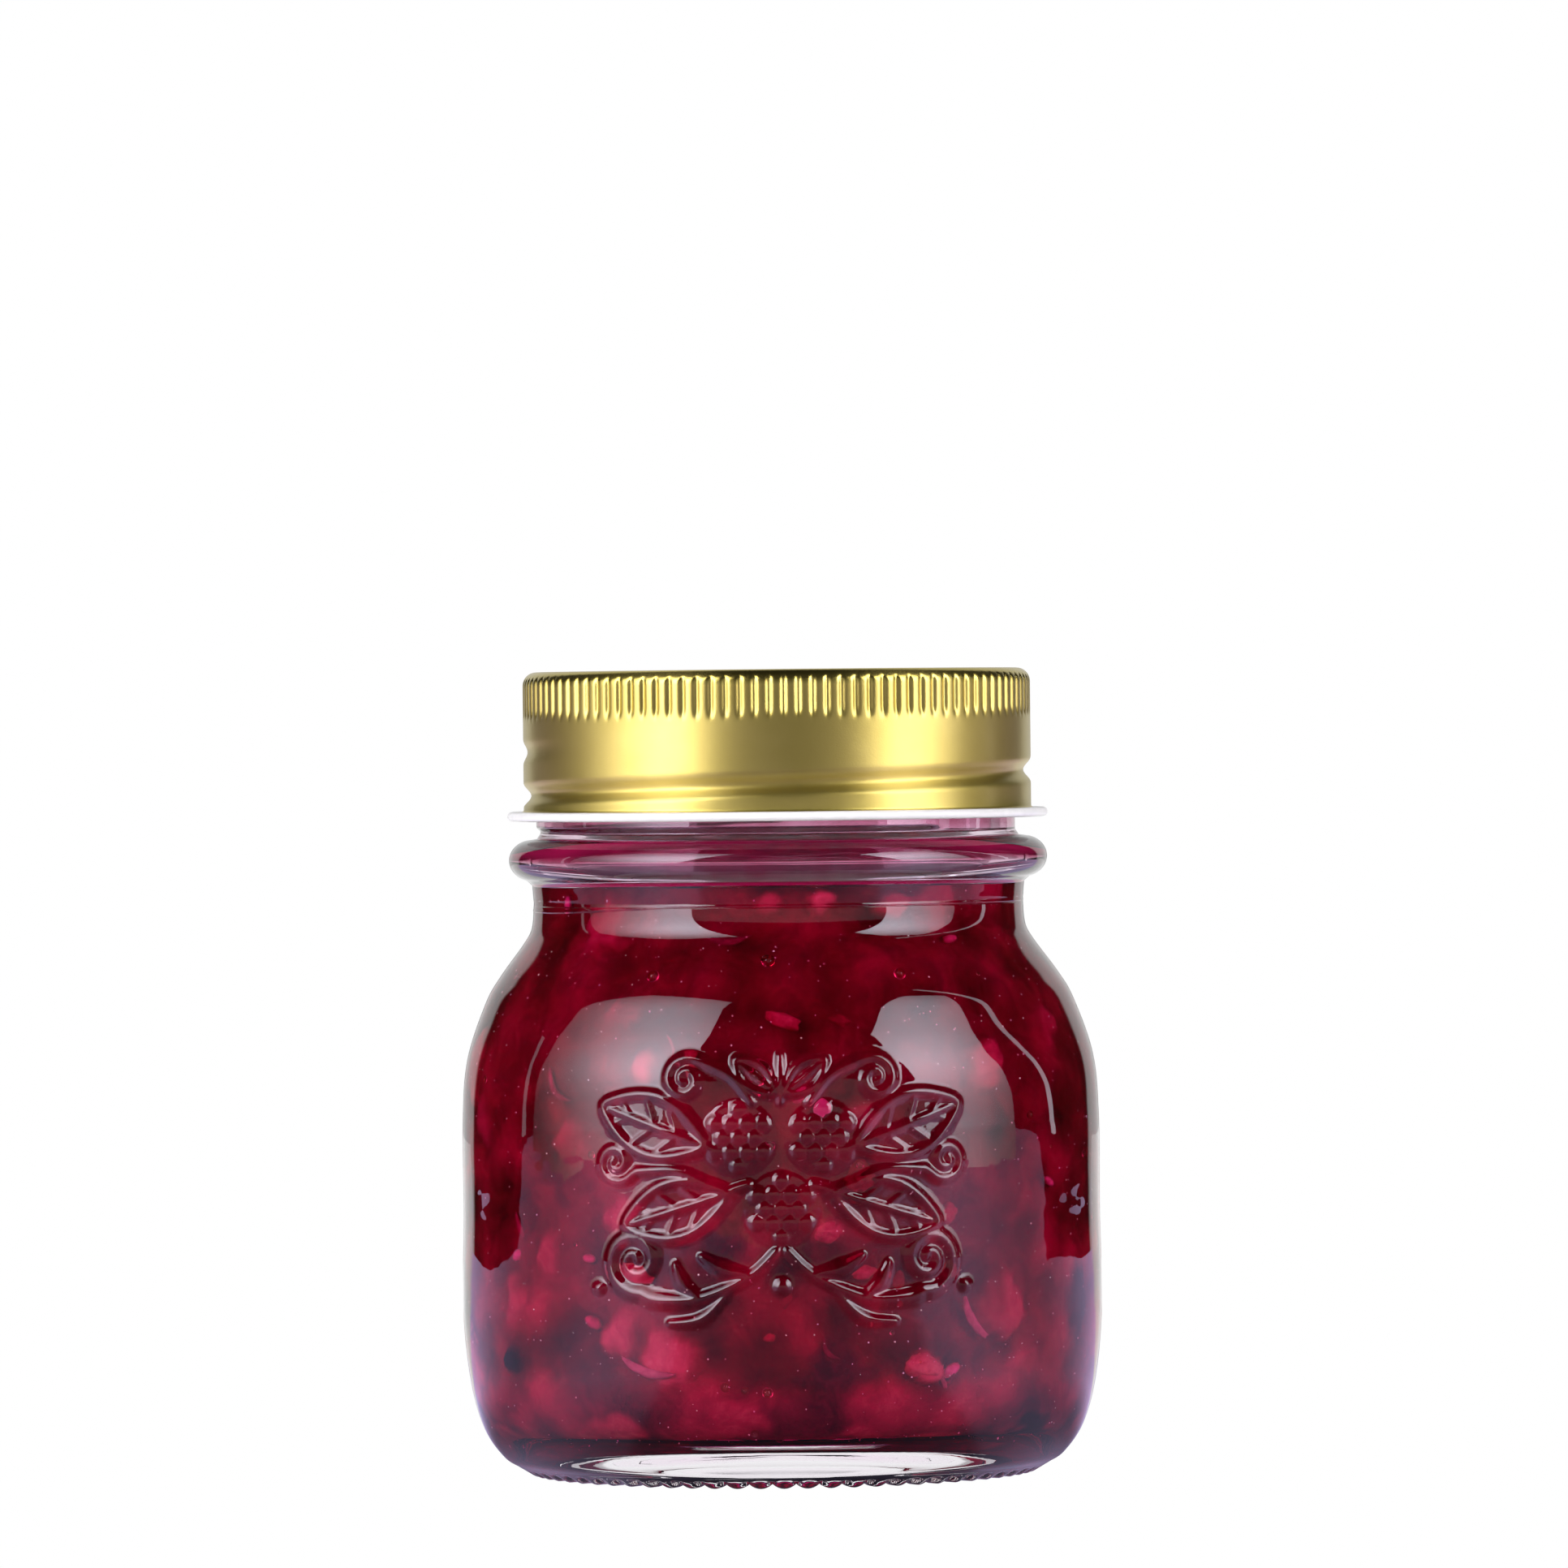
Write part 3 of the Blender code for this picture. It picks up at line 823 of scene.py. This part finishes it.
def smeared_glass():
    """The inside of the neck above the jam, with the film of syrup that was left there when the jar was
    filled: a deep crimson close to the jam, thin and uneven further up, in patches of about 11 mm."""
    material, tree = new_material("glass_smeared_with_syrup")
    where = add(tree, "TexCoord").outputs["Object"]
    patches = add(
        tree, "TexNoise", {"Vector": where, "Scale": 1 / (11.11 * MM), "Detail": 4.0, "Roughness": 0.6}
    )
    height = add(tree, "SeparateXYZ", [where]).outputs["Z"]
    high = add(tree, "MapRange", [height, 65.5 * MM, 67.2 * MM, 0.0, 0.22])
    low = add(tree, "MapRange", [height, 64.2 * MM, 62.4 * MM, 0.0, 0.75])
    film = add(tree, "Math", [high, low], operation="ADD")
    film = add(tree, "Math", [patches, 0.5, film], operation="MULTIPLY_ADD")
    tints = [(0.15, "#f4e8f0"), (0.4, "#e4bcd0"), (0.6, "#cc7898"), (0.8, "#a83458"), (1.0, "#84183c")]
    tint = add(tree, "ValToRGB", [film], tints)
    clear = add(tree, "BsdfGlass", {"Color": tint, "Roughness": 0.0, "IOR": GLASS_IOR})
    pulpy = {"Base Color": "#961040", "Roughness": 0.4, "Specular IOR Level": 0.0}
    thick = add(tree, "MapRange", [film, 0.4, 0.95, 0.0, 0.75])
    shader = add(
        tree, "MixShader", [thick, let_lamps_through(tree, clear), add(tree, "BsdfPrincipled", pulpy)]
    )
    add(tree, "OutputMaterial", {"Surface": shader})
    return material


def wetted_glass():
    """The inside of the same glass where jam lies against it: it bends light without a reflection of its own,
    except at the flat angles at which all of the light turns back into the glass."""
    material, tree = new_material("glass_wetted_by_jam")
    bends = add(tree, "BsdfRefraction", {"Color": "#ffffff", "Roughness": 0.0, "IOR": GLASS_IOR})
    turns = add(tree, "BsdfGlass", {"Color": "#ffffff", "Roughness": 0.0, "IOR": GLASS_IOR})
    share = add(tree, "Fresnel", {"IOR": GLASS_IOR})
    whole = add(tree, "Math", [share, 0.999], operation="GREATER_THAN")
    shader = add(tree, "MixShader", [whole, bends, turns])
    add(tree, "OutputMaterial", {"Surface": let_lamps_through(tree, shader)})
    return material


def jam_gel():
    """Fruit syrup set with pectin: clear, and so strongly coloured that only red comes through it. The fine
    pulp that floats in it softens what lies deeper, except at the floor, where the syrup is clear."""
    material, tree = new_material("set_fruit_syrup")
    where = add(tree, "TexCoord").outputs["Object"]
    height = add(tree, "SeparateXYZ", [where]).outputs["Z"]
    cloudy = add(tree, "MapRange", [height, 6.0 * MM, 14.0 * MM, 0.0, 0.27], **SOFT)
    shader = add(tree, "BsdfRefraction", {"Color": "#ffffff", "Roughness": cloudy, "IOR": JAM_IOR})
    surface = let_lamps_through(tree, shader)
    add(tree, "OutputMaterial", {"Surface": surface, "Volume": add(tree, "VolumeAbsorption", SYRUP)})
    return material


def jam_top():
    """The jam's open surface under the lid: the same syrup, wet and shining."""
    material, tree = new_material("open_jam_surface")
    shader = add(tree, "BsdfGlass", {"Color": "#ffffff", "Roughness": 0.04, "IOR": JAM_IOR})
    surface = let_lamps_through(tree, shader)
    add(tree, "OutputMaterial", {"Surface": surface, "Volume": add(tree, "VolumeAbsorption", SYRUP)})
    return material


def pulp():
    """Berries cooked to pulp: dark red, with pale flesh and blue-black skin where whole pieces are left, in
    patches of about 3 mm with fibres about 1 mm apart."""
    material, tree = new_material("cooked_berry_pulp")
    where = add(tree, "TexCoord").outputs["Object"]
    patchy = {"Scale": 1 / (3.333 * MM), "Detail": 5.0, "Roughness": 0.58, "Distortion": 0.8}
    fibrous = {"Scale": 1 / (0.9091 * MM), "Detail": 3.0, "Roughness": 0.6, "Distortion": 2.5}
    patches = add(tree, "TexNoise", {"Vector": where, **patchy})
    fibres = add(tree, "TexNoise", {"Vector": where, **fibrous})
    flesh = add(tree, "Attribute", attribute_name="flesh").outputs["Fac"]
    shade = add(tree, "Math", [flesh, 0.4, 0.17], operation="MULTIPLY_ADD")
    shade = add(tree, "Math", [fibres, 0.14, shade], operation="MULTIPLY_ADD")
    shade = add(tree, "Math", [patches, 0.42, shade], operation="MULTIPLY_ADD")
    dark_skin = [(0.08, "#0c0610"), (0.25, "#4a0c20"), (0.45, "#801a32")]
    pale_flesh = [(0.62, "#a83042"), (0.8, "#cc5c5a"), (0.95, "#e4928a")]
    colour = add(tree, "ValToRGB", [shade], dark_skin + pale_flesh)
    bump = add(tree, "Bump", {"Height": patches, "Strength": 0.3, "Distance": 0.6 * MM})
    matt = {"Base Color": colour, "Roughness": 0.6, "Normal": bump, "Specular IOR Level": 0.0}
    add(tree, "OutputMaterial", {"Surface": add(tree, "BsdfPrincipled", matt)})
    return material


def fruit(name, colours, patch, roughness):
    """Cooked fruit in syrup: three colours that run into each other in soft patches of a size in mm, a little
    different in each piece, and no shine, because the syrup wets it."""
    material, tree = new_material(name)
    where = add(tree, "TexCoord").outputs["Object"]
    patches = add(
        tree, "TexNoise", {"Vector": where, "Scale": 1 / (patch * MM), "Detail": 4.0, "Roughness": 0.6}
    )
    island = add(tree, "NewGeometry").outputs["Random Per Island"]
    shade = add(tree, "Math", [island, 0.5, patches], operation="MULTIPLY_ADD")
    shade = add(tree, "Math", [shade, 0.25], operation="SUBTRACT")
    colour = add(tree, "ValToRGB", [shade], list(zip((0.2, 0.5, 0.8), colours)))
    bump = add(tree, "Bump", {"Height": patches, "Strength": 0.4, "Distance": 0.6 * MM})
    matt = {"Base Color": colour, "Roughness": roughness, "Normal": bump, "Specular IOR Level": 0.0}
    add(tree, "OutputMaterial", {"Surface": add(tree, "BsdfPrincipled", matt)})
    return material


def bubble():
    """Air caught in the set syrup: it bends light the other way, with an IOR of one part in the syrup's 1.4,
    so it shows as a ring."""
    material, tree = new_material("air_in_syrup")
    shader = add(tree, "BsdfGlass", {"Color": "#f3cbc4", "Roughness": 0.0, "IOR": 0.7})
    add(tree, "OutputMaterial", {"Surface": let_lamps_through(tree, shader)})
    return material


def gold_lacquer():
    """Tinplate under a gold lacquer. The marks of rolling and spinning run round the lid, so they spread the
    lights up and down and keep them narrow from side to side; beneath lies a softer, deeper glow. The corner,
    drawn round the die, is burnished and mirrors the dark above it."""
    material, tree = new_material("gold_lacquered_tinplate")
    where = add(tree, "TexCoord").outputs["Object"]
    # the real grain is some hundredths of a millimetre, so it is drawn ten times as coarse
    grain = add(
        tree, "TexNoise", {"Vector": where, "Scale": 1 / (0.1923 * MM), "Detail": 3.0, "Roughness": 0.65}
    )
    cloud = add(
        tree, "TexNoise", {"Vector": where, "Scale": 1 / (6.25 * MM), "Detail": 3.0, "Roughness": 0.5}
    )
    pale = add(tree, "ValToRGB", [cloud], [(0.3, "#dac766"), (0.7, "#e4d174")])
    deep = add(tree, "ValToRGB", [cloud], [(0.3, "#c4b254"), (0.7, "#cebc5e")])
    bump = add(tree, "Bump", {"Height": grain, "Strength": 0.22, "Distance": 0.04 * MM})
    metal = {"Metallic": 1.0, "Normal": bump}
    brushed = {"Roughness": 0.44, "Anisotropic": 0.96, "Anisotropic Rotation": 0.25}
    coated = {"Coat Weight": 0.5, "Coat Roughness": 0.2}
    satin = add(tree, "BsdfPrincipled", {"Base Color": pale, **metal, **brushed, **coated})
    glow = add(tree, "BsdfPrincipled", {"Base Color": deep, **metal, "Roughness": 0.42})
    burnished = add(tree, "BsdfPrincipled", {"Base Color": deep, **metal, "Roughness": 0.22})
    shader = add(tree, "MixShader", [0.45, satin, glow])
    height = add(tree, "SeparateXYZ", [where]).outputs["Z"]
    corner = add(tree, "MapRange", [height, 81.5 * MM, 82.2 * MM, 0.0, 0.85])
    add(tree, "OutputMaterial", {"Surface": add(tree, "MixShader", [corner, shader, burnished])})
    return material


def white_lacquer():
    """The white inside lacquer of the lid, which shows where its hem is turned out: smooth and glossy, with
    the orange peel of a stoved coat, about 1 mm from crest to crest."""
    material, tree = new_material("white_lacquered_hem")
    where = add(tree, "TexCoord").outputs["Object"]
    peel = add(tree, "TexNoise", {"Vector": where, "Scale": 1 / (1.111 * MM), "Detail": 2.0})
    colour = add(tree, "ValToRGB", [peel], [(0.2, "#f1f1e6"), (0.8, "#f9f9ee")])
    bump = add(tree, "Bump", {"Height": peel, "Strength": 0.15, "Distance": 0.05 * MM})
    glossy = {"Base Color": colour, "Roughness": 0.3, "Normal": bump, "Coat Weight": 0.3}
    add(tree, "OutputMaterial", {"Surface": add(tree, "BsdfPrincipled", glossy)})
    return material


# ---------------------------------------------------------------- the studio

# Light colours, which may be above 1
PANEL_LIGHT = (1.0, 0.97, 1.12, 1.0)
# the colour of the glow painted on the table top, which gloss sees as the table's painted reflection
TABLE_PAINTED_REFLECTION = (1.0, 0.84, 1.38, 1.0)
PANEL_DISTANCE = 0.8
PANEL_SPREAD = (33.0, 24.0)
STUDIO_MIDDLE = Vector((0, 0, 0.035))


def sight(azimuth, elevation):
    """A panel's point, seen from the jar in a direction given in degrees from its front, in metres."""
    a, e = math.radians(azimuth), math.radians(elevation)
    towards = Vector((math.sin(a) * math.cos(e), -math.cos(a) * math.cos(e), math.sin(e)))
    return towards * PANEL_DISTANCE + STUDIO_MIDDLE


def direction(tree, where):
    """Shader sockets for the azimuth from the jar's front and the elevation of a point, in radians."""
    part = add(tree, "SeparateXYZ", [where]).outputs
    towards = add(tree, "Math", [part["Y"], -1.0], operation="MULTIPLY")
    azimuth = add(tree, "Math", [part["X"], towards], operation="ARCTAN2")
    length = add(tree, "VectorMath", [where], operation="LENGTH").outputs["Value"]
    rise = add(tree, "Math", [part["Z"], length], operation="DIVIDE")
    return azimuth, add(tree, "Math", [rise], operation="ARCSINE")


def hump(tree, value, centre, reach):
    """((value - centre) / reach) squared; the value is in radians, the rest in degrees."""
    off = add(tree, "Math", [value, math.radians(centre)], operation="SUBTRACT")
    off = add(tree, "Math", [off, math.radians(reach)], operation="DIVIDE")
    return add(tree, "Math", [off, 2.0], operation="POWER")


def bell(tree, squared):
    """1 at the middle and falling off smoothly round it."""
    fall = add(tree, "Math", [squared, -1.0], operation="MULTIPLY")
    return add(tree, "Math", [fall], operation="EXPONENT")


def flat_sheet(name, outline, material):
    """A flat sheet for the studio, given by its outline in metres."""
    mesh = bpy.data.meshes.new(name)
    mesh.from_pydata(outline, [], [list(range(len(outline)))])
    mesh.materials.append(material)
    return set_down(name, mesh)


def light_panel(name, corners, strength, hot_spot=None):
    """A soft light panel whose outline is given as directions from the jar. A lamp behind its cloth makes
    the cloth brightest at the hot spot, with a softer fall to the sides than up and down."""
    material, tree = new_material(name + "_light")
    if hot_spot:
        angles = direction(tree, add(tree, "TexCoord").outputs["Object"])
        across, up = (hump(tree, *row) for row in zip(angles, hot_spot, PANEL_SPREAD))
        fall = bell(tree, add(tree, "Math", [across, up], operation="ADD"))
        strength = add(tree, "Math", [fall, strength], operation="MULTIPLY")
    glow = add(tree, "Emission", {"Color": PANEL_LIGHT, "Strength": strength})
    add(tree, "OutputMaterial", {"Surface": glow})
    panel = flat_sheet(name, [sight(a, e) for a, e in corners], material)
    panel.visible_camera = False
    panel.visible_shadow = False


def table_top():
    """A matt white table top. The eye, and light that has come through the glass, see it burnt out to white.
    Gloss sees a glow painted on it instead: painted pools of light under the two soft lights, painted shade
    between them and painted shade close to the jar."""
    material, tree = new_material("matt_white_table")
    where = add(tree, "TexCoord").outputs["Object"]
    azimuth, _ = direction(tree, where)
    away = add(tree, "VectorMath", [where], operation="LENGTH").outputs["Value"]
    # painted light for gloss only: bright pools on the table under the two soft lights, and a brighter
    # painted band at the far sides
    painted_left_pool, painted_right_pool = (bell(tree, hump(tree, azimuth, centre, 26.0)) for centre in (-56.0, 60.0))
    painted_light_pools = add(tree, "Math", [painted_left_pool, painted_right_pool], operation="ADD")
    turned = add(tree, "Math", [azimuth], operation="ABSOLUTE")
    sides = add(tree, "MapRange", [turned, math.radians(95), math.radians(135), 0.42, 0.8], **SOFT)
    lit = add(tree, "Math", [painted_light_pools, 0.75, sides], operation="MULTIPLY_ADD")
    # painted shade in the gap between the two soft lights in front of the jar, weaker further away
    left = add(tree, "MapRange", [azimuth, math.radians(-38), math.radians(-33)], **SOFT)
    right = add(tree, "MapRange", [azimuth, math.radians(50), math.radians(44)], **SOFT)
    painted_shade_between_lights = add(tree, "Math", [left, right], operation="MULTIPLY")
    far = add(tree, "MapRange", [away, 0.42, 0.62, 0.45, 0.1])
    painted_shade_between_lights = add(tree, "Math", [painted_shade_between_lights, far], operation="MULTIPLY")
    between = add(tree, "Math", [1.0, painted_shade_between_lights], operation="SUBTRACT")
    # painted shade on the table close to the jar
    close = add(tree, "MapRange", [away, 0.035, 0.08, 0.42, 1.0])
    for share in (between, close):
        lit = add(tree, "Math", [lit, share], operation="MULTIPLY")
    # this glow is the table's painted reflection, which gloss sees in place of its lit surface
    mirrored = add(tree, "Emission", {"Color": TABLE_PAINTED_REFLECTION, "Strength": lit})
    matt = add(tree, "BsdfDiffuse", {"Color": "#e1e1e1"})
    burnt_out = add(tree, "Emission", {"Color": "#ffffff", "Strength": 1.0})
    path = add(tree, "LightPath").outputs
    seen = add(tree, "Math", [path["Is Camera Ray"], path["Is Transmission Ray"]], operation="MAXIMUM")
    behind = add(tree, "MapRange", [turned, math.radians(146), math.radians(151)], **SOFT)
    white = add(tree, "Math", [seen, behind], operation="MAXIMUM")
    out = add(tree, "MixShader", [path["Is Glossy Ray"], matt, mirrored])
    add(tree, "OutputMaterial", {"Surface": add(tree, "MixShader", [white, out, burnt_out])})
    return material


def white_table():
    """The table top, a hair below the jar, drawn in at the two places where the room behind shows dark."""
    outline = []
    for azimuth in range(-180, 180, 4):
        reach = 0.6 if 104 < abs(azimuth) < 149 else 0.95
        turn = math.radians(azimuth)
        outline.append((reach * math.sin(turn), -reach * math.cos(turn), -0.03 * MM))
    table = flat_sheet("white_table", outline, table_top())


def studio_air():
    """White to the eye; in reflections a dark room with a white backdrop behind the jar."""
    world = bpy.data.worlds.new("studio")
    bpy.context.scene.world = world
    world.use_nodes = True
    tree = world.node_tree
    tree.nodes.clear()
    where = add(tree, "TexCoord").outputs["Generated"]
    flat = add(tree, "VectorMath", [where, (1, 1, 0)], operation="MULTIPLY")
    flat = add(tree, "VectorMath", [flat], operation="NORMALIZE")
    back, up = add(tree, "SeparateXYZ", [flat]).outputs["Y"], add(tree, "SeparateXYZ", [where]).outputs["Z"]
    behind = add(tree, "MapRange", [back, 0.84, 0.87], **SOFT)
    below = add(tree, "MapRange", [up, 0.75, 0.65], **SOFT)
    backdrop = add(tree, "Math", [behind, below], operation="MULTIPLY")
    mirrored = add(tree, "MapRange", [backdrop, 0.0, 1.0, 0.01, 0.7])
    clear = add(tree, "MapRange", [backdrop, 0.0, 1.0, 0.55, 1.0])
    path = add(tree, "LightPath").outputs
    through = add(tree, "Math", [path["Is Transmission Ray"], clear], operation="MULTIPLY")
    shown = add(tree, "Math", [mirrored, path["Is Camera Ray"]], operation="MAXIMUM")
    shown = add(tree, "Math", [shown, through], operation="MAXIMUM")
    air = add(tree, "Background", {"Color": "#ffffff", "Strength": shown})
    add(tree, "OutputWorld", {"Surface": air})


def camera():
    """A long lens a little over a metre away, level with the shoulder of the lid and turned half a degree."""
    lens = bpy.data.cameras.new("camera")
    lens.lens = 248.0
    lens.sensor_width = 36.0
    lens.clip_end = 20.0
    item = set_down("camera", lens)
    tilt = Matrix.Rotation(math.radians(90 - 0.37), 4, "X")
    roll = Matrix.Rotation(math.radians(-0.6), 4, "Z")
    item.matrix_world = Matrix.Translation((0.0007, -1.12, 0.0785)) @ tilt @ roll
    bpy.context.scene.camera = item


# ---------------------------------------------------------------- building it

rings, first_smeared, first_wetted = glass_rings()
glass = skin(
    "moulded_glass_body",
    rings,
    [moulded_glass(), smeared_glass(), wetted_glass()],
    [int(k >= first_smeared) + int(k >= first_wetted) for k in range(len(rings) - 1)],
)
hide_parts("glass_jar")

rings, first_open = gel_rings()
finish = [int(k >= first_open) for k in range(len(rings) - 1)]
gel = skin("set_jam", rings, [jam_gel(), jam_top()], finish)
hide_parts("berry_jam")
pulp_skin(pulp())

scatter(
    "berry_flesh_pieces",
    [
        front(0.4, 47.5, 1.75, 0.75, 0.6, -18, 1.1),
        front(15.3, 12.4, 2.0, 1.3, 0.8, -8, 0.5),
        front(21.5, 8.4, 1.7, 1.1, 0.8, -35, 0.6),
        front(-16.2, 21.4, 1.9, 1.0, 0.7, -20, 0.9),
        front(8.9, 22.7, 1.4, 0.7, 0.5, 0, 0.9),
        front(4.9, 26.9, 1.3, 1.0, 0.6, 40, 0.8),
        *pieces(26, (0.8, 2.2), (0.5, 0.9), 0.6, (1.2, 2.0), 1.5),
    ],
    fruit("berry_flesh", ["#8c2034", "#b03444", "#d06a60"], 1.613, 0.5),
    detail=3,
    rough=(0.2, 0.1),
)
scatter(
    "berry_skin_strips",
    [
        front(20.4, 17.0, 2.6, 0.5, 0.3, -55, 0.5),
        front(-14.4, 12.4, 3.0, 0.5, 0.3, -15, 0.4),
        *pieces(22, (1.0, 2.4), (0.12, 0.2), 0.6, (0.9, 1.7), 1.0),
    ],
    fruit("berry_skin", ["#701a2e", "#983044", "#b85460"], 1.613, 0.5),
    detail=3,
    rough=(0.14, 0.08),
    bend=0.5,
)
scatter(
    "berry_seeds",
    pieces(26, (0.8, 1.2), (0.45, 0.6), 0.85, (0.8, 1.6)),
    fruit("berry_seed_coat", ["#b4505a", "#d88078", "#f0b8a8"], 1.111, 0.45),
    detail=2,
    rough=(0.06, 0.0),
)
scatter(
    "fine_pulp_specks",
    pieces(1700, (0.04, 0.12), (0.5, 1.0), 0.8, (0.02, 0.9)),
    fruit("pulp_specks", ["#d06a78", "#eaa0a4", "#fce4e0"], 1.111, 0.5),
    detail=1,
)
scatter(
    "air_bubbles",
    [
        *(front(across, up, size, size, thick, 0, depth) for across, up, size, thick, depth in FRONT_BUBBLES),
        *pieces(34, (0.15, 0.45), (0.95, 1.0), 0.9, (0.03, 0.3)),
    ],
    bubble(),
    detail=3,
)

rings, hem_end = lid_rings()
finish = [int(k < hem_end) for k in range(len(rings) - 1)]
lid = skin("gold_screw_lid", rings, [gold_lacquer(), white_lacquer()], finish)
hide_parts("screw_lid")

white_table()
studio_air()
light_panel("left_softbox", [(-99, -2.4), (-96, 24), (-68, 49), (-22, 47), (-43, -2.4)], 8.6, (-44, 22))
light_panel(
    "right_softbox", [(54, -2.4), (38, 36), (60, 46), (80, 41), (84, 22), (92, -2.4)], 8.3, (50, 22)
)
light_panel("right_strip", [(72, 51), (75, 51), (99, 25), (116, -2), (113, -2), (96, 26)], 2.4)
light_panel("left_strip", [(-103, -2), (-103, 22), (-105, 22), (-105, -2)], 1.0)
light_panel("far_wall", [(-43, -2.4), (-40, 9), (50, 9), (54, -2.4)], 0.45)
camera()

scene = bpy.context.scene
scene.view_settings.view_transform = "Standard"
scene.cycles.max_bounces = 16
scene.cycles.transmission_bounces = 16
scene.cycles.transparent_max_bounces = 24
scene.cycles.caustics_reflective = False
scene.cycles.caustics_refractive = False
scene.cycles.use_denoising = True
